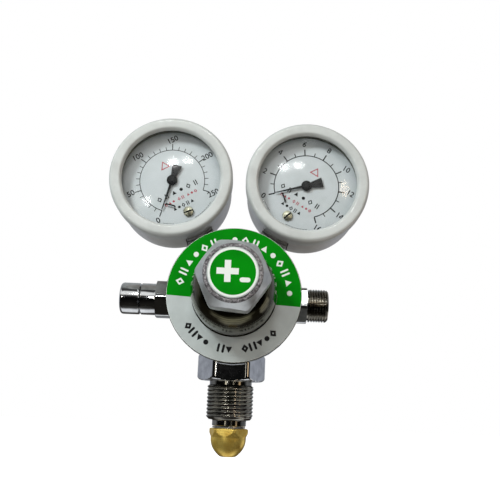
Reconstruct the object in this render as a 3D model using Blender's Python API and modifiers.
"""Single-stage cylinder regulator with two pressure gauges, as separate pieces.

The scene is in metres, +Z up. The origin is the centre of the inlet bullnose's flat end, on the inlet's axis,
and the knob faces -Y. Lengths in this file are in millimetres and are scaled once, where a piece is made.
"""
from math import cos, pi, radians, sin, tau

import bmesh
import bpy
from mathutils import Matrix, Vector

MM = 0.001
GAP = 0.3                      # clearance between pieces that bear on each other

ROUND = 32                     # facets round a large turned piece
MEDIUM = 24                    # facets round a fitting
FINE = 20                      # facets round a small one
TINY = 12                      # facets round a pin or a small hole

# Layout
BODY_HEIGHT = 75.7             # knob axis and side ports above the bullnose's end
GAUGE_ANGLE = radians(30.0)    # each gauge leans this far from vertical
GAUGE_DISTANCE = 68.5          # body centre to gauge centre

# Body, along the knob's axis: heights are towards the knob from the plane of the ports
BARREL_RADIUS = 24.0
BARREL_BACK = -14.0
FLANGE_RADIUS = 32.2
FLANGE_BACK = 17.6
BODY_FRONT = 24.0
CUP_RADIUS = 28.0              # threaded recess that the bonnet screws into
DIAPHRAGM_SEAT = 19.5
LOW_CHAMBER_RADIUS = 20.0
LOW_CHAMBER_FLOOR = 9.3
HIGH_CHAMBER_RADIUS = 8.0
HIGH_CHAMBER_FLOOR = -4.0
NOZZLE_BORE = 4.8

# Side ports, along each port's own axis from the body's centre
PORT_RADIUS = 6.6
PORT_BOTTOM = 15.5
BOSS_RADIUS = 8.8
BOSS_END = 27.0
SPIGOT_RADIUS = 6.3            # male thread of whatever screws into a port
SPIGOT_START = 19.3
LOW_DRILLING = 17.0            # radius at which ports open into the low-pressure chamber
HIGH_DRILLING = -5.6           # height at which ports open into the high-pressure chamber

# Bonnet, spring and knob
DIAPHRAGM_THICKNESS = 1.0
SLIP_RING_THICKNESS = 0.6
BONNET_FACE = 28.0
NOSE_RADIUS = 19.8
NOSE_FRONT = 62.0
NECK_RADIUS = 11.4
SPRING_CAVITY = 17.0
SCREW_RADIUS = 7.0             # M14 x 1.5
SCREW_BORE = SCREW_RADIUS + GAP
PLATE_FACE = 22.9              # lower end of the main spring
BUTTON_FACE = 46.5             # upper end of the main spring
KNOB_BACK = 69.9
KNOB_FRONT = 83.4
KNOB_FLATS = 27.9
KNOB_TURN = radians(25.0)
KNOB_FACE_RADIUS = 11.9
KNOB_TAPER = 7.0               # length over which the knob's corners taper to its face
KNOB_LABEL_RADIUS = 10.35
LABEL_THICKNESS = 0.5

# Inlet, up from the bullnose's end
TIP_TOP = 13.4
TIP_FLATS = 17.4
TIP_END_RADIUS = 3.4
STEM_RADIUS = 6.3
STEM_BORE = 2.4
FILTER_BORE = 3.3
HEX_BOTTOM = 36.2
NUT_BOTTOM = 14.5
NUT_TOP = 49.5
NUT_FLATS = 30.0
NUT_THREAD_RADIUS = 11.45      # 5/8 inch BSP
NUT_BORE = 6.8

# Outlet and relief valve, out from the body's centre
FITTING_FLATS = 18.0
OUTLET_THREAD_RADIUS = 8.33    # 3/8 inch BSP
OUTLET_COLLAR_END = 36.6
OUTLET_END = 47.4
OUTLET_BORE = 4.0
OUTLET_HEX_TURN = radians(10.6)
RELIEF_COLLAR_END = 39.6
RELIEF_RADIUS = 8.0
RELIEF_SPLIT = 47.4
RELIEF_END = 57.8
RELIEF_SEAT = 34.0
RELIEF_SPRING_TOP = 52.5

# Gauges, along each gauge's axis: heights are towards its window from the plane of the ports
CASE_RADIUS = 30.0
CASE_WALL = 0.9
SOCKET_TOP = -27.6              # where the stem ends inside the case
CASE_BACK = -12.0
CASE_RIM = 14.6
BEZEL_RADIUS = 31.0
BEZEL_FRONT = 22.4
WINDOW_OPENING = 24.8
WINDOW_BACK = 17.2
WINDOW_THICKNESS = 1.8
DIAL_RADIUS = 27.6
DIAL_FACE = 13.6
DIAL_THICKNESS = 0.5
DIAL_SCREW_OFFSET = -18.5
POINTER_BACK = 14.6
STOP_PIN_OFFSET = 12.5
ZERO_ANGLE = radians(225.0)    # where the pointer rests, anticlockwise from the dial's right
SOCKET_WIDTH = 14.4
TUBE_RADIUS = 21.0             # Bourdon tube's bend
TUBE_START = radians(248.5)
TUBE_SWEEP = radians(-256.0)
PIVOT_OFFSET = -13.0           # sector's pivot below the pointer's arbor
PINION_TIP = 1.5
SECTOR_TIP = 11.1
PINION_TEETH = 8
SECTOR_TAIL = 4.0
TAIL_ANGLE = radians(300.0)
PIVOT_HOLE = 0.9
PIN_RADIUS = 0.6

FINISHES = {                   # colour, roughness, metallic
    "chrome": ((0.62, 0.63, 0.64), 0.12, 1.0),
    "nickel": ((0.66, 0.65, 0.63), 0.35, 1.0),
    "brass": ((0.78, 0.56, 0.20), 0.30, 1.0),
    "steel": ((0.45, 0.46, 0.48), 0.35, 1.0),
    "white_enamel": ((0.80, 0.81, 0.79), 0.30, 0.0),
    "white_print": ((0.82, 0.84, 0.86), 0.55, 0.0),
    "green_print": ((0.00, 0.22, 0.03), 0.40, 0.0),
    "black_enamel": ((0.02, 0.02, 0.02), 0.45, 0.0),
    "rubber": ((0.04, 0.04, 0.04), 0.80, 0.0),
    "polymer": ((0.75, 0.74, 0.68), 0.50, 0.0),
    "clear": ((0.90, 0.93, 0.92), 0.05, 0.0),
}


# ---------------------------------------------------------------- scene and helpers

def clear_scene():
    for obj in list(bpy.data.objects):
        bpy.data.objects.remove(obj)


def new_collection(name):
    collection = bpy.data.collections.new(name)
    bpy.context.scene.collection.children.link(collection)
    return collection


def axis_frame(name, origin, z_axis, y_axis):
    """An empty whose local +Z runs along a piece's axis."""
    z_axis = Vector(z_axis).normalized()
    y_axis = Vector(y_axis).normalized()
    turn = Matrix((y_axis.cross(z_axis), y_axis, z_axis)).transposed().to_4x4()
    empty = bpy.data.objects.new(name, None)
    empty.matrix_world = Matrix.Translation(Vector(origin) * MM) @ turn
    parts.objects.link(empty)
    return empty


def place(obj, parent, location=(0.0, 0.0, 0.0), collection=None):
    (collection or parts).objects.link(obj)
    obj.parent = parent
    obj.location = Vector(location) * MM
    return obj


def paint(obj, finish):
    colour, roughness, metallic = FINISHES[finish]
    material = bpy.data.materials.new(obj.name + "_" + finish)
    material.use_nodes = True
    shader = material.node_tree.nodes["Principled BSDF"]
    shader.inputs["Base Color"].default_value = (*colour, 1.0)
    shader.inputs["Roughness"].default_value = roughness
    shader.inputs["Metallic"].default_value = metallic
    obj.data.materials.append(material)
    return obj


def turned_object(name, profile, facets, closed):
    """A Screw modifier on (radius, height) points that run down the outer side."""
    mesh = bpy.data.meshes.new(name)
    points = [(radius * MM, 0.0, height * MM) for radius, height in profile]
    edges = [(i, i + 1) for i in range(len(points) - 1)]
    if closed:
        edges.append((len(points) - 1, 0))
    mesh.from_pydata(points, edges, [])
    obj = bpy.data.objects.new(name, mesh)
    screw = obj.modifiers.new("Screw", "SCREW")
    screw.steps = facets
    screw.render_steps = facets
    screw.use_merge_vertices = True
    screw.merge_threshold = 0.000001
    return obj


def turned(name, profile, finish, parent, facets=ROUND, location=(0.0, 0.0, 0.0)):
    """A turned piece. A profile that starts off the axis is a closed loop round a bore."""
    closed = profile[0][0] > 0.0
    return paint(place(turned_object(name, profile, facets, closed), parent, location), finish)


def cutter(obj, parent, location=(0.0, 0.0, 0.0)):
    place(obj, parent, location, cutters)
    obj.hide_render = True
    obj.display_type = "WIRE"
    return obj


def combine(target, tool, operation):
    modifier = target.modifiers.new(operation.title(), "BOOLEAN")
    modifier.operation = operation
    modifier.object = tool
    return target


def rod(name, radius, bottom, top, parent, centre=(0.0, 0.0), facets=FINE):
    """A plain cylinder for joining or cutting, along the parent's axis."""
    profile = [(0.0, top), (radius, top), (radius, bottom), (0.0, bottom)]
    return cutter(turned_object(name, profile, facets, False), parent, (*centre, 0.0))


def block(name, low, high, parent, location=(0.0, 0.0, 0.0)):
    """A box for joining or cutting, between two corners."""
    mesh = bpy.data.meshes.new(name)
    shape = bmesh.new()
    bmesh.ops.create_cube(shape, size=1.0)
    size = [(b - a) * MM for a, b in zip(low, high)]
    middle = [(a + b) / 2.0 * MM for a, b in zip(low, high)]
    bmesh.ops.scale(shape, vec=size, verts=shape.verts)
    bmesh.ops.translate(shape, vec=middle, verts=shape.verts)
    shape.to_mesh(mesh)
    shape.free()
    return cutter(bpy.data.objects.new(name, mesh), parent, location)


def hexagon(target, flats, turn=0.0):
    """Mill a turned piece to a hexagon wherever it is wider than the flats."""
    mesh = bpy.data.meshes.new(target.name + "_hexagon")
    shape = bmesh.new()
    radius = flats / 2.0 / cos(pi / 6.0) * MM
    spin = Matrix.Rotation(turn, 3, "Z")
    bmesh.ops.create_cone(shape, cap_ends=True, segments=6, radius1=radius, radius2=radius, depth=0.4)
    bmesh.ops.rotate(shape, cent=(0.0, 0.0, 0.0), matrix=spin, verts=shape.verts)
    shape.to_mesh(mesh)
    shape.free()
    tool = cutter(bpy.data.objects.new(mesh.name, mesh), target.parent)
    return combine(target, tool, "INTERSECT")


def circle(radius, facets, centre=(0.0, 0.0)):
    turns = [tau * i / facets for i in range(facets)]
    return [(centre[0] + radius * cos(turn), centre[1] + radius * sin(turn)) for turn in turns]


def arc(radius, start, end, steps):
    turns = [start + (end - start) * i / steps for i in range(steps + 1)]
    return [(radius * cos(turn), radius * sin(turn)) for turn in turns]


def add_spline(curve, points, cyclic):
    spline = curve.splines.new("POLY")
    spline.points.add(len(points) - 1)
    for target, point in zip(spline.points, points):
        target.co = (*(Vector(point) * MM).resized(3), 1.0)
    spline.use_cyclic_u = cyclic


def flat_object(name, loops, bottom, top):
    """A flat outline, with holes, as a filled 2D curve made into a mesh."""
    curve = bpy.data.curves.new(name, "CURVE")
    curve.dimensions = "2D"
    curve.fill_mode = "BOTH"
    curve.extrude = (top - bottom) / 2.0 * MM
    for loop in loops:
        add_spline(curve, loop, True)
    middle = (bottom + top) / 2.0 * MM
    return mesh_from_curve(name, curve, Matrix.Translation((0.0, 0.0, middle)))


def wire_object(name, points, radius, resolution=2, stretch=(1.0, 1.0, 1.0)):
    """A round wire along a list of points, stretched about its own origin."""
    curve = bpy.data.curves.new(name, "CURVE")
    curve.dimensions = "3D"
    curve.bevel_depth = radius * MM
    curve.bevel_resolution = resolution
    curve.use_fill_caps = True
    add_spline(curve, points, False)
    return mesh_from_curve(name, curve, Matrix.Diagonal((*stretch, 1.0)))


def mesh_from_curve(name, curve, matrix):
    """Evaluate a curve, weld its caps and return it as a mesh object."""
    source = bpy.data.objects.new(name + "_curve", curve)
    bpy.context.scene.collection.objects.link(source)
    depsgraph = bpy.context.evaluated_depsgraph_get()
    mesh = bpy.data.meshes.new_from_object(source.evaluated_get(depsgraph))
    bpy.data.objects.remove(source)
    shape = bmesh.new()
    shape.from_mesh(mesh)
    bmesh.ops.remove_doubles(shape, verts=shape.verts, dist=0.000001)
    bmesh.ops.transform(shape, matrix=matrix, verts=shape.verts)
    bmesh.ops.recalc_face_normals(shape, faces=shape.faces)
    shape.to_mesh(mesh)
    shape.free()
    return bpy.data.objects.new(name, mesh)


def flat(name, loops, bottom, top, finish, parent, location=(0.0, 0.0, 0.0)):
    return paint(place(flat_object(name, loops, bottom, top), parent, location), finish)


def spring(name, bottom, top, mean_radius, wire_radius, turns, finish, parent):
    """A compression spring whose first and last turns lie closed."""
    per_turn = 10
    count = round(turns * per_turn)
    low = bottom + wire_radius
    high = top - wire_radius
    closed = 1.0 / turns
    points = []
    for i in range(count + 1):
        share = i / count
        opened = min(max((share - closed) / (1.0 - 2.0 * closed), 0.0), 1.0)
        lift = 2.2 * wire_radius * min(share, closed) / closed
        drop = 2.2 * wire_radius * (1.0 - min(1.0 - share, closed) / closed)
        height = low + lift + drop + (high - low - 4.4 * wire_radius) * opened
        turn = tau * turns * share
        points.append((mean_radius * cos(turn), mean_radius * sin(turn), height))
    return paint(place(wire_object(name, points, wire_radius, 1), parent), finish)


def smooth_all():
    """Apply each piece's modifiers, then shade its round faces smooth."""
    bpy.context.view_layer.update()
    depsgraph = bpy.context.evaluated_depsgraph_get()
    pieces = [obj for obj in parts.objects if obj.type == "MESH"]
    meshes = [bpy.data.meshes.new_from_object(obj.evaluated_get(depsgraph)) for obj in pieces]
    for obj, mesh in zip(pieces, meshes):
        obj.modifiers.clear()
        obj.data = mesh
        mesh.shade_smooth()
        mesh.set_sharp_from_angle(angle=radians(35.0))


# ---------------------------------------------------------------- body and pressure stage

def body(axis, ports):
    profile = [
        (CUP_RADIUS, BODY_FRONT), (FLANGE_RADIUS - 0.4, BODY_FRONT), (FLANGE_RADIUS, BODY_FRONT - 0.4),
        (FLANGE_RADIUS, FLANGE_BACK + 0.6), (FLANGE_RADIUS - 0.6, FLANGE_BACK),
        (BARREL_RADIUS, FLANGE_BACK), (BARREL_RADIUS, BARREL_BACK + 1.5),
        (BARREL_RADIUS - 1.5, BARREL_BACK), (HIGH_CHAMBER_RADIUS, BARREL_BACK),
        (HIGH_CHAMBER_RADIUS, HIGH_CHAMBER_FLOOR), (NOZZLE_BORE, HIGH_CHAMBER_FLOOR),
        (NOZZLE_BORE, LOW_CHAMBER_FLOOR), (LOW_CHAMBER_RADIUS, LOW_CHAMBER_FLOOR),
        (LOW_CHAMBER_RADIUS, DIAPHRAGM_SEAT), (CUP_RADIUS, DIAPHRAGM_SEAT),
    ]
    piece = turned("body", profile, "chrome", axis)
    for name, (port, bossed, low_side) in ports.items():
        if bossed:
            boss = rod(name + "_boss", BOSS_RADIUS, PORT_BOTTOM - 2.0, BOSS_END, port, facets=MEDIUM)
            combine(piece, boss, "UNION")
    for name, (port, bossed, low_side) in ports.items():
        hole = rod(name + "_port", PORT_RADIUS, PORT_BOTTOM, BOSS_END + 5.0, port)
        combine(piece, hole, "DIFFERENCE")
        direction = port.matrix_world.to_3x3().col[2]
        if low_side:
            centre = (direction.x * LOW_DRILLING, direction.z * LOW_DRILLING)
            passage = rod(name + "_drilling", 1.8, 2.0, LOW_CHAMBER_FLOOR + 2.0, axis, centre, TINY)
        else:
            start = HIGH_CHAMBER_RADIUS - 2.0
            profile = [(0.0, PORT_BOTTOM + 2.0), (1.0, PORT_BOTTOM + 2.0), (1.0, start), (0.0, start)]
            passage = turned_object(name + "_drilling", profile, TINY, False)
            inward = port.matrix_world.to_3x3().inverted() @ Vector((0.0, -HIGH_DRILLING, 0.0))
            cutter(passage, port, inward)
        combine(piece, passage, "DIFFERENCE")
    return piece


def nozzle(axis):
    flange = LOW_CHAMBER_FLOOR + GAP
    back = HIGH_CHAMBER_FLOOR - 0.1
    profile = [
        (1.8, flange + 2.7), (6.5, flange + 2.7), (7.4, flange + 2.2), (7.4, flange), (4.5, flange),
        (4.5, back + 0.8), (2.6, back), (1.8, back),
    ]
    return hexagon(turned("nozzle", profile, "brass", axis, FINE), 13.0)


def poppet(axis):
    """Valve with its push stem through the nozzle and its guide stem in the spring."""
    face = HIGH_CHAMBER_FLOOR - 0.1 - GAP
    tip = DIAPHRAGM_SEAT - 1.8
    profile = [
        (0.0, tip), (1.1, tip), (1.1, face), (4.3, face), (4.3, face - 4.2), (1.6, face - 4.6),
        (1.6, face - 8.6), (0.0, face - 8.6),
    ]
    return turned("poppet", profile, "steel", axis, TINY)


def poppet_spring(axis):
    return spring("poppet_spring", -17.0, -9.3, 3.4, 0.35, 4.0, "steel", axis)


def rear_plug(axis):
    """Hexagonal plug bored blind for the poppet's spring."""
    head = BARREL_BACK - 1.0 - 2.0 * GAP
    profile = [
        (0.0, -17.3), (5.0, -17.3), (5.0, -9.0), (7.0, -9.0), (7.7, -9.7), (7.7, head), (11.8, head),
        (12.7, head - 0.8), (12.7, head - 6.0), (11.6, head - 6.9), (0.0, head - 6.9),
    ]
    return hexagon(turned("rear_plug", profile, "chrome", axis, FINE), 22.0)


def plug_seal(axis):
    top = BARREL_BACK - GAP
    profile = [(8.2, top), (10.8, top), (10.8, top - 1.0), (8.2, top - 1.0)]
    return turned("plug_seal", profile, "polymer", axis, FINE)


def diaphragm(axis):
    back = DIAPHRAGM_SEAT + GAP
    front = back + DIAPHRAGM_THICKNESS
    profile = [(2.8, front), (CUP_RADIUS - 0.5, front), (CUP_RADIUS - 0.5, back), (2.8, back)]
    return turned("diaphragm", profile, "rubber", axis, FINE)


def slip_ring(axis):
    back = DIAPHRAGM_SEAT + DIAPHRAGM_THICKNESS + 2.0 * GAP
    front = back + SLIP_RING_THICKNESS
    outer = CUP_RADIUS - 0.5
    return turned("slip_ring", [(18.0, front), (outer, front), (outer, back), (18.0, back)], "brass", axis, FINE)


def diaphragm_plate(axis):
    """Backing disc whose stud passes through the diaphragm into the spring plate."""
    face = DIAPHRAGM_SEAT
    profile = [(0.0, 23.6), (2.5, 23.6), (2.5, face), (8.0, face), (8.0, face - 1.5), (0.0, face - 1.5)]
    return turned("diaphragm_plate", profile, "brass", axis, FINE)


def spring_plate(axis):
    back = DIAPHRAGM_SEAT + DIAPHRAGM_THICKNESS + 2.0 * GAP
    profile = [
        (2.8, PLATE_FACE + 2.5), (6.6, PLATE_FACE + 2.5), (7.4, PLATE_FACE + 1.7), (7.4, PLATE_FACE),
        (12.0, PLATE_FACE), (12.0, back), (2.8, back),
    ]
    return turned("spring_plate", profile, "steel", axis, FINE)


def main_spring(axis):
    return spring("main_spring", PLATE_FACE + GAP, BUTTON_FACE - GAP, 9.3, 1.25, 5.0, "steel", axis)


def spring_button(axis):
    """Upper spring seat with a dimple for the screw's rounded end."""
    back = BUTTON_FACE
    profile = [
        (0.0, back + 1.9), (3.0, back + 2.5), (11.5, back + 2.5), (11.5, back), (7.4, back),
        (7.4, back - 1.7), (6.6, back - 2.5), (0.0, back - 2.5),
    ]
    return turned("spring_button", profile, "steel", axis, FINE)


def bonnet(axis):
    spigot = DIAPHRAGM_SEAT + DIAPHRAGM_THICKNESS + SLIP_RING_THICKNESS + 3.0 * GAP
    dome_start = 38.0
    dome_end = NOSE_FRONT - 3.5
    dome = []
    for i in range(6):
        turn = pi / 2.0 * (1.0 - i / 5.0)
        radius = NECK_RADIUS + (NOSE_RADIUS - NECK_RADIUS) * cos(turn)
        dome.append((radius, dome_start + (dome_end - dome_start) * sin(turn)))
    profile = [
        (SCREW_BORE, NOSE_FRONT), (NECK_RADIUS - 0.8, NOSE_FRONT), (NECK_RADIUS, NOSE_FRONT - 0.8), *dome,
        (NOSE_RADIUS, BONNET_FACE), (FLANGE_RADIUS - 0.3, BONNET_FACE), (FLANGE_RADIUS, BONNET_FACE - 0.3),
        (FLANGE_RADIUS, BODY_FRONT + GAP), (CUP_RADIUS - GAP, BODY_FRONT + GAP),
        (CUP_RADIUS - GAP, spigot), (SPRING_CAVITY, spigot), (SPRING_CAVITY, NOSE_FRONT - 15.0),
        (9.0, NOSE_FRONT - 7.0), (SCREW_BORE, NOSE_FRONT - 7.0),
    ]
    return turned("bonnet", profile, "chrome", axis)


def label_ring(axis):
    back = BONNET_FACE + GAP
    front = back + LABEL_THICKNESS
    outer = FLANGE_RADIUS - 0.3
    inner = NOSE_RADIUS + 0.4
    return turned("label_ring", [(inner, front), (outer, front), (outer, back), (inner, back)],
                  "white_print", axis)


def adjusting_screw(axis):
    end = BUTTON_FACE + 1.9 + GAP
    top = KNOB_BACK + 5.0
    profile = [
        (0.0, top), (6.2, top), (SCREW_RADIUS, top - 0.8), (SCREW_RADIUS, end + 6.0), (5.2, end + 4.8),
        (5.2, end + 3.0), (2.8, end + 0.7), (0.0, end),
    ]
    return turned("adjusting_screw", profile, "steel", axis, FINE)


def knob(axis):
    """Hexagonal cap bored blind for the screw's end, with a chamfered round face."""
    corner = KNOB_FLATS / 2.0 / cos(pi / 6.0)
    bore_floor = KNOB_BACK + 5.0 + GAP
    profile = [
        (0.0, KNOB_FRONT), (KNOB_FACE_RADIUS, KNOB_FRONT), (corner, KNOB_FRONT - KNOB_TAPER),
        (corner, KNOB_BACK + 0.6), (corner - 0.9, KNOB_BACK), (SCREW_BORE, KNOB_BACK),
        (SCREW_BORE, bore_floor), (0.0, bore_floor),
    ]
    return hexagon(turned("knob", profile, "nickel", axis), KNOB_FLATS, KNOB_TURN)


def knob_label(axis):
    back = KNOB_FRONT + GAP
    front = back + LABEL_THICKNESS
    profile = [(0.0, front), (KNOB_LABEL_RADIUS, front), (KNOB_LABEL_RADIUS, back), (0.0, back)]
    return turned("knob_label", profile, "green_print", axis)


# ---------------------------------------------------------------- inlet

def bullnose_tip(axis):
    """Rounded sealing nose below a hexagonal shoulder that screws onto the stem."""
    nose = []
    shoulder = 9.5
    for i in range(9):
        share = i / 8.0
        nose.append((8.7 - (8.7 - TIP_END_RADIUS) * share ** 2.2, shoulder * (1.0 - share)))
    socket_floor = 5.1
    profile = [
        (5.0, TIP_TOP), (9.2, TIP_TOP), (10.05, TIP_TOP - 0.8), (10.05, TIP_TOP - 1.2), *nose,
        (1.75, 0.0), (1.75, socket_floor), (5.0, socket_floor),
    ]
    return hexagon(turned("bullnose_tip", profile, "brass", axis, FINE), TIP_FLATS, radians(13.6))


def inlet_filter(axis):
    """Sintered cup in the stem's lower counterbore."""
    bottom = 5.7
    top = TIP_TOP
    profile = [(0.0, top), (1.6, top), (3.0, top - 1.4), (3.0, bottom), (1.9, bottom), (1.9, top - 1.8),
               (0.0, top - 1.8)]
    return turned("inlet_filter", profile, "brass", axis, TINY)


def inlet_stem(axis):
    top = BODY_HEIGHT - SPIGOT_START
    shank = TIP_TOP + GAP
    profile = [
        (STEM_BORE, top), (SPIGOT_RADIUS - 0.6, top), (SPIGOT_RADIUS, top - 0.6), (STEM_RADIUS, shank),
        (4.7, shank), (4.7, 5.4), (FILTER_BORE, 5.4), (FILTER_BORE, TIP_TOP + GAP), (STEM_BORE, TIP_TOP + 1.2),
    ]
    return turned("inlet_stem", profile, "chrome", axis, FINE)


def slip_washer(axis):
    bottom = TIP_TOP + GAP
    top = NUT_BOTTOM - GAP
    return turned("slip_washer", [(6.7, top), (8.2, top), (8.2, bottom), (6.7, bottom)], "polymer", axis, FINE)


def inlet_nut(axis):
    corner = NUT_FLATS / 2.0 / cos(pi / 6.0)
    profile = [
        (NUT_BORE, NUT_TOP), (corner - 2.6, NUT_TOP), (corner, NUT_TOP - 2.0), (corner, HEX_BOTTOM + 2.0),
        (corner - 2.6, HEX_BOTTOM), (10.45, HEX_BOTTOM), (10.45, 34.2), (NUT_THREAD_RADIUS, 33.4),
        (NUT_THREAD_RADIUS, 19.4), (10.3, 18.3), (8.35, 17.4), (8.35, NUT_BOTTOM), (NUT_BORE, NUT_BOTTOM),
    ]
    return hexagon(turned("inlet_nut", profile, "chrome", axis), NUT_FLATS, pi / 6.0)


# ---------------------------------------------------------------- outlet and relief valve

def collar_start():
    return BOSS_END + GAP


def outlet_fitting(axis):
    corner = FITTING_FLATS / 2.0 / cos(pi / 6.0)
    profile = [
        (6.3, OUTLET_END), (OUTLET_THREAD_RADIUS - 1.0, OUTLET_END), (OUTLET_THREAD_RADIUS, OUTLET_END - 1.0),
        (OUTLET_THREAD_RADIUS, OUTLET_COLLAR_END + 1.4), (7.5, OUTLET_COLLAR_END + 0.9),
        (7.5, OUTLET_COLLAR_END), (corner - 0.9, OUTLET_COLLAR_END), (corner, OUTLET_COLLAR_END - 0.6),
        (corner, collar_start()), (SPIGOT_RADIUS, collar_start()), (SPIGOT_RADIUS, SPIGOT_START),
        (OUTLET_BORE, SPIGOT_START), (OUTLET_BORE, OUTLET_END - 2.3),
    ]
    return hexagon(turned("outlet_fitting", profile, "chrome", axis, MEDIUM), FITTING_FLATS, OUTLET_HEX_TURN)


def relief_body(axis):
    corner = FITTING_FLATS / 2.0 / cos(pi / 6.0)
    profile = [
        (6.3, RELIEF_SPLIT), (RELIEF_RADIUS - 0.5, RELIEF_SPLIT), (RELIEF_RADIUS, RELIEF_SPLIT - 0.5),
        (RELIEF_RADIUS, RELIEF_COLLAR_END), (corner - 0.9, RELIEF_COLLAR_END),
        (corner, RELIEF_COLLAR_END - 0.6), (corner, collar_start()), (SPIGOT_RADIUS, collar_start()),
        (SPIGOT_RADIUS, SPIGOT_START), (2.0, SPIGOT_START), (2.0, RELIEF_SEAT), (6.3, RELIEF_SEAT),
    ]
    return hexagon(turned("relief_body", profile, "chrome", axis, MEDIUM), FITTING_FLATS)


def relief_cap(axis):
    """Screwed cap that holds the spring down, with a vent hole in its domed end."""
    start = RELIEF_SPLIT + GAP
    profile = [
        (1.5, RELIEF_END), (6.4, RELIEF_END), (7.5, RELIEF_END - 0.4),
        (RELIEF_RADIUS, RELIEF_END - 1.3), (RELIEF_RADIUS, start + 0.5), (RELIEF_RADIUS - 0.5, start),
        (6.0, start), (6.0, start - 3.6), (4.8, start - 3.6), (4.8, RELIEF_SPRING_TOP + GAP),
        (1.5, RELIEF_SPRING_TOP + GAP),
    ]
    return turned("relief_cap", profile, "chrome", axis, MEDIUM)


def relief_poppet(axis):
    face = RELIEF_SEAT + GAP
    profile = [
        (0.0, face + 9.0), (1.3, face + 9.0), (1.3, face + 3.0), (5.4, face + 3.0), (5.4, face), (0.0, face),
    ]
    return turned("relief_poppet", profile, "brass", axis, FINE)


def relief_spring(axis):
    return spring("relief_spring", RELIEF_SEAT + 3.6, RELIEF_SPRING_TOP, 3.6, 0.4, 5.0, "steel", axis)


# ---------------------------------------------------------------- gauges

def gauge_case(prefix, axis):
    """Drawn cup with a square cut-out where the stem enters."""
    inner = CASE_RADIUS - CASE_WALL
    floor_height = CASE_BACK + CASE_WALL
    profile = [
        (0.0, floor_height), (inner - 2.2, floor_height), (inner, floor_height + 2.2), (inner, CASE_RIM),
        (CASE_RADIUS, CASE_RIM), (CASE_RADIUS, CASE_BACK + 3.0), (CASE_RADIUS - 0.9, CASE_BACK + 0.9),
        (CASE_RADIUS - 3.0, CASE_BACK), (0.0, CASE_BACK),
    ]
    piece = turned(prefix + "case", profile, "white_enamel", axis)
    half = SOCKET_WIDTH / 2.0 + GAP
    opening = block(prefix + "case_opening", (-half, -CASE_RADIUS - 2.0, -half), (half, 5.0 - CASE_RADIUS, half),
                    axis)
    return combine(piece, opening, "DIFFERENCE")


def gauge_bezel(prefix, axis):
    inner = CASE_RADIUS + GAP
    lip = WINDOW_BACK + WINDOW_THICKNESS + GAP
    profile = [
        (WINDOW_OPENING, BEZEL_FRONT - 0.6), (WINDOW_OPENING + 0.7, BEZEL_FRONT),
        (BEZEL_RADIUS - 2.6, BEZEL_FRONT), (BEZEL_RADIUS - 0.8, BEZEL_FRONT - 0.8),
        (BEZEL_RADIUS, BEZEL_FRONT - 2.6), (BEZEL_RADIUS, CASE_RIM - 1.8), (inner, CASE_RIM - 1.8),
        (inner, lip), (WINDOW_OPENING, lip),
    ]
    return turned(prefix + "bezel", profile, "white_enamel", axis)


def gauge_window(prefix, axis):
    top = WINDOW_BACK + WINDOW_THICKNESS
    profile = [(0.0, top), (CASE_RADIUS, top), (CASE_RADIUS, WINDOW_BACK), (0.0, WINDOW_BACK)]
    return turned(prefix + "window", profile, "clear", axis)


def gauge_gasket(prefix, axis):
    top = WINDOW_BACK - GAP
    bottom = CASE_RIM + GAP
    inner = WINDOW_OPENING + 0.6
    profile = [(inner, top), (CASE_RADIUS, top), (CASE_RADIUS, bottom), (inner, bottom)]
    return turned(prefix + "gasket", profile, "rubber", axis, MEDIUM)


def gauge_dial(prefix, axis):
    loops = [circle(DIAL_RADIUS, ROUND), circle(1.5, TINY), circle(1.1, TINY, (0.0, DIAL_SCREW_OFFSET))]
    return flat(prefix + "dial", loops, DIAL_FACE - DIAL_THICKNESS, DIAL_FACE, "white_print", axis)


def dial_screw(prefix, axis):
    """Cheese-head screw through the dial into the movement frame."""
    seat = DIAL_FACE + GAP
    profile = [
        (0.0, seat + 1.1), (2.0, seat + 1.1), (2.6, seat + 0.6), (2.6, seat), (0.8, seat), (0.8, seat - 2.9),
        (0.0, seat - 2.9),
    ]
    location = (0.0, DIAL_SCREW_OFFSET, 0.0)
    piece = turned(prefix + "dial_screw", profile, "nickel", axis, TINY, location)
    slot = block(prefix + "screw_slot", (-3.0, -0.3, seat + 0.6), (3.0, 0.3, seat + 2.0), axis, location)
    return combine(piece, slot, "DIFFERENCE")


def stop_pin(prefix, axis):
    """Wire peg that the pointer rests against at zero."""
    turn = ZERO_ANGLE + radians(5.0)
    location = (STOP_PIN_OFFSET * cos(turn), STOP_PIN_OFFSET * sin(turn), 0.0)
    top = POINTER_BACK + 1.2
    profile = [(0.0, top), (0.4, top), (0.4, DIAL_FACE + GAP), (0.0, DIAL_FACE + GAP)]
    return turned(prefix + "stop_pin", profile, "black_enamel", axis, 10, location)


def gauge_pointer(prefix, axis):
    """Slender needle with a broad tail, on a hub pressed onto the arbor; it rests at zero."""
    blade = [(-8.3, -2.6), (-2.2, -1.45), (2.2, -0.8), (16.3, -0.22), (16.3, 0.22), (2.2, 0.8), (-2.2, 1.45),
             (-8.3, 2.6)]
    turn = Matrix.Rotation(ZERO_ANGLE, 2)
    outline = [tuple(turn @ Vector(point)) for point in blade]
    piece = flat(prefix + "pointer", [outline], POINTER_BACK, POINTER_BACK + 0.5, "black_enamel", axis)
    combine(piece, rod(prefix + "hub", 2.7, POINTER_BACK - 0.1, POINTER_BACK + 1.3, axis), "UNION")
    bore = rod(prefix + "hub_bore", PIVOT_HOLE, POINTER_BACK - 1.0, POINTER_BACK + 0.9, axis, facets=TINY)
    return combine(piece, bore, "DIFFERENCE")


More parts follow.
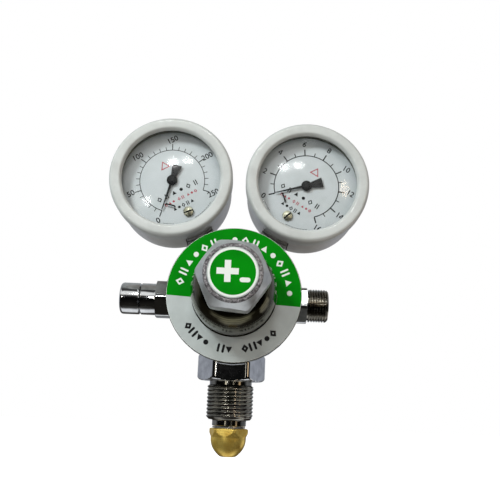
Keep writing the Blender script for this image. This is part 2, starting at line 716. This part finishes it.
def gear_outline(teeth, tip, root, start, sweep):
    """Tooth flanks as straight lines between a tip circle and a root circle."""
    points = []
    pitch = sweep / teeth
    for i in range(teeth):
        for share, radius in ((0.0, root), (0.3, tip), (0.6, tip), (0.9, root)):
            turn = start + pitch * (i + share)
            points.append((radius * cos(turn), radius * sin(turn)))
    return points


def gauge_pinion(prefix, axis):
    outline = gear_outline(PINION_TEETH, PINION_TIP, PINION_TIP - 0.5, 0.0, tau)
    piece = flat(prefix + "pinion", [outline], 3.9, 5.1, "brass", axis)
    arbor = rod(prefix + "arbor", PIN_RADIUS, 2.0, POINTER_BACK + 0.6, axis, facets=TINY)
    return combine(piece, arbor, "UNION")


def gauge_sector(prefix, axis):
    """Toothed quadrant on the pivot stud, with a tail for the link."""
    start = radians(45.0)
    sweep = radians(51.0)
    teeth = gear_outline(8, SECTOR_TIP, SECTOR_TIP - 0.8, start, sweep)
    hub_left = arc(2.4, start + sweep + radians(25.0), radians(270.0), 5)
    tail = [(radius * cos(TAIL_ANGLE + turn), radius * sin(TAIL_ANGLE + turn))
            for radius, turn in ((4.2, -0.30), (5.2, -0.16), (5.2, 0.16), (4.2, 0.30))]
    hub_right = arc(2.4, radians(335.0), radians(375.0), 2)
    hole = circle(0.7, TINY, (SECTOR_TAIL * cos(TAIL_ANGLE), SECTOR_TAIL * sin(TAIL_ANGLE)))
    loops = [teeth + hub_left + tail + hub_right, circle(PIVOT_HOLE, TINY), hole]
    return flat(prefix + "sector", loops, 4.0, 5.0, "brass", axis, (0.0, PIVOT_OFFSET, 0.0))


def tube_end():
    """Where the link would be pinned, just short of the tube's closed end."""
    turn = TUBE_START + TUBE_SWEEP + radians(3.0)
    return Vector((TUBE_RADIUS * cos(turn), TUBE_RADIUS * sin(turn)))


def tail_pin():
    return Vector((SECTOR_TAIL * cos(TAIL_ANGLE), PIVOT_OFFSET + SECTOR_TAIL * sin(TAIL_ANGLE)))


def gauge_link(prefix, axis):
    """Bar from the Bourdon tube's end to the sector's tail, pinned in the tail."""
    far = tube_end() - tail_pin()
    reach = far.length
    heading = far.angle_signed(Vector((1.0, 0.0)))
    near_end = arc(1.1, radians(90.0), radians(270.0), 5)
    far_end = [(reach + x, y) for x, y in arc(1.1, radians(-90.0), radians(90.0), 5)]
    turn = Matrix.Rotation(heading, 2)
    outline = [tuple(turn @ Vector(point)) for point in near_end + far_end]
    location = (*tail_pin(), 0.0)
    piece = flat(prefix + "link", [outline], 3.1, 3.7, "brass", axis, location)
    pin = rod(prefix + "link_pin", 0.4, 3.2, 5.3, axis, tuple(tail_pin()), 10)
    return combine(piece, pin, "UNION")


def movement_frame(prefix, axis):
    """Two plates on pillars, with the sector's stud and the boss that the dial screws to."""
    plate = [(-6.0, -21.0), (6.0, -21.0), (6.0, 5.0), (-6.0, 5.0)]
    arbor_hole = circle(PIVOT_HOLE, TINY)
    piece = flat(prefix + "movement_frame", [plate, arbor_hole], 1.8, 2.8, "brass", axis)
    front = cutter(flat_object(prefix + "front_plate", [plate, arbor_hole], 8.5, 9.5), axis)
    combine(piece, front, "UNION")
    for i, centre in enumerate([(-4.6, 3.6), (4.6, 3.6), (-4.6, -19.4)]):
        pillar = rod(f"{prefix}pillar_{i}", 1.1, 2.3, 9.0, axis, centre, 10)
        combine(piece, pillar, "UNION")
    stud = rod(prefix + "sector_stud", PIN_RADIUS, 2.3, 9.0, axis, (0.0, PIVOT_OFFSET), 10)
    combine(piece, stud, "UNION")
    dial_back = DIAL_FACE - DIAL_THICKNESS - GAP
    boss = rod(prefix + "dial_boss", 1.9, 9.0, dial_back, axis, (0.0, DIAL_SCREW_OFFSET), TINY)
    combine(piece, boss, "UNION")
    hole = rod(prefix + "boss_hole", 1.1, 8.0, dial_back + 1.0, axis, (0.0, DIAL_SCREW_OFFSET), TINY)
    return combine(piece, hole, "DIFFERENCE")


def bourdon_tube(prefix, axis):
    """Flattened tube bent round the case, closed at its free end."""
    points = []
    for x, y in arc(TUBE_RADIUS, TUBE_START, TUBE_START + TUBE_SWEEP, 20):
        points.append((x, y, 0.0))
    tube = wire_object(prefix + "bourdon_tube", points, 1.1, 2, (1.0, 1.0, 2.6))
    place(tube, axis, (0.0, 0.0, -3.0))
    lug = rod(prefix + "tube_lug", 0.8, -3.0, 3.1 - GAP, axis, tuple(tube_end()), 10)
    return paint(combine(tube, lug, "UNION"), "brass")


def socket_piece(prefix, axis):
    """Square stem from the body's port up into the case, where it carries the tube and movement."""
    start = SPIGOT_START - GAUGE_DISTANCE
    shoulder = BOSS_END + 1.0 + 2.0 * GAP - GAUGE_DISTANCE
    half = SOCKET_WIDTH / 2.0
    piece = block(prefix + "socket", (-half, shoulder, -half), (half, SOCKET_TOP, half), axis)
    cutters.objects.unlink(piece)
    parts.objects.link(piece)
    piece.hide_render = False
    piece.display_type = "TEXTURED"
    post = block(prefix + "post", (-7.0, SOCKET_TOP - 1.4, -6.5), (5.0, -13.0, 1.5), axis)
    combine(piece, post, "UNION")
    stem = turned_object(prefix + "stem", [(0.0, shoulder + 1.0), (SPIGOT_RADIUS, shoulder + 1.0),
                                           (SPIGOT_RADIUS, start), (0.0, start)], FINE, False)
    cutter(stem, axis)
    stem.rotation_euler.x = -pi / 2.0
    combine(piece, stem, "UNION")
    bore = turned_object(prefix + "bore", [(0.0, -16.0), (1.0, -16.0), (1.0, start - 1.0), (0.0, start - 1.0)],
                         10, False)
    cutter(bore, axis)
    bore.rotation_euler.x = -pi / 2.0
    combine(piece, bore, "DIFFERENCE")
    return paint(piece, "chrome")


def stem_washer(prefix, port):
    bottom = BOSS_END + GAP
    profile = [(6.7, bottom + 1.0), (8.4, bottom + 1.0), (8.4, bottom), (6.7, bottom)]
    return turned(prefix + "stem_washer", profile, "polymer", port, FINE)


def gauge(prefix, axis, port):
    gauge_case(prefix, axis)
    gauge_bezel(prefix, axis)
    gauge_window(prefix, axis)
    gauge_gasket(prefix, axis)
    gauge_dial(prefix, axis)
    dial_screw(prefix, axis)
    stop_pin(prefix, axis)
    gauge_pointer(prefix, axis)
    gauge_pinion(prefix, axis)
    gauge_sector(prefix, axis)
    gauge_link(prefix, axis)
    movement_frame(prefix, axis)
    bourdon_tube(prefix, axis)
    socket_piece(prefix, axis)
    stem_washer(prefix, port)


# ---------------------------------------------------------------- assembly

def build():
    centre = Vector((0.0, 0.0, BODY_HEIGHT))
    front = Vector((0.0, -1.0, 0.0))
    up = Vector((0.0, 0.0, 1.0))
    left_up = Vector((-sin(GAUGE_ANGLE), 0.0, cos(GAUGE_ANGLE)))
    right_up = Vector((sin(GAUGE_ANGLE), 0.0, cos(GAUGE_ANGLE)))

    knob_axis = axis_frame("knob_axis", centre, front, up)
    inlet_axis = axis_frame("inlet_axis", (0.0, 0.0, 0.0), up, -front)
    inlet_port = axis_frame("inlet_port", centre, -up, front)
    outlet_port = axis_frame("outlet_port", centre, (1.0, 0.0, 0.0), front)
    relief_port = axis_frame("relief_port", centre, (-1.0, 0.0, 0.0), front)
    high_port = axis_frame("high_port", centre, left_up, front)
    low_port = axis_frame("low_port", centre, right_up, front)
    high_axis = axis_frame("high_axis", centre + GAUGE_DISTANCE * left_up, front, left_up)
    low_axis = axis_frame("low_axis", centre + GAUGE_DISTANCE * right_up, front, right_up)
    bpy.context.view_layer.update()

    ports = {                  # frame, whether it stands on a boss, whether it opens on the low side
        "outlet": (outlet_port, True, True),
        "relief": (relief_port, True, True),
        "low": (low_port, True, True),
        "high": (high_port, True, False),
        "inlet": (inlet_port, False, False),
    }
    body(knob_axis, ports)
    for make in (nozzle, poppet, poppet_spring, rear_plug, plug_seal, diaphragm, slip_ring, diaphragm_plate,
                 spring_plate, main_spring, spring_button, bonnet, label_ring, adjusting_screw, knob,
                 knob_label):
        make(knob_axis)
    for make in (bullnose_tip, inlet_filter, inlet_stem, slip_washer, inlet_nut):
        make(inlet_axis)
    outlet_fitting(outlet_port)
    for make in (relief_body, relief_cap, relief_poppet, relief_spring):
        make(relief_port)
    gauge("high_", high_axis, high_port)
    gauge("low_", low_axis, low_port)
    smooth_all()


clear_scene()
parts = new_collection("gas_regulator")
cutters = new_collection("cutters")
build()
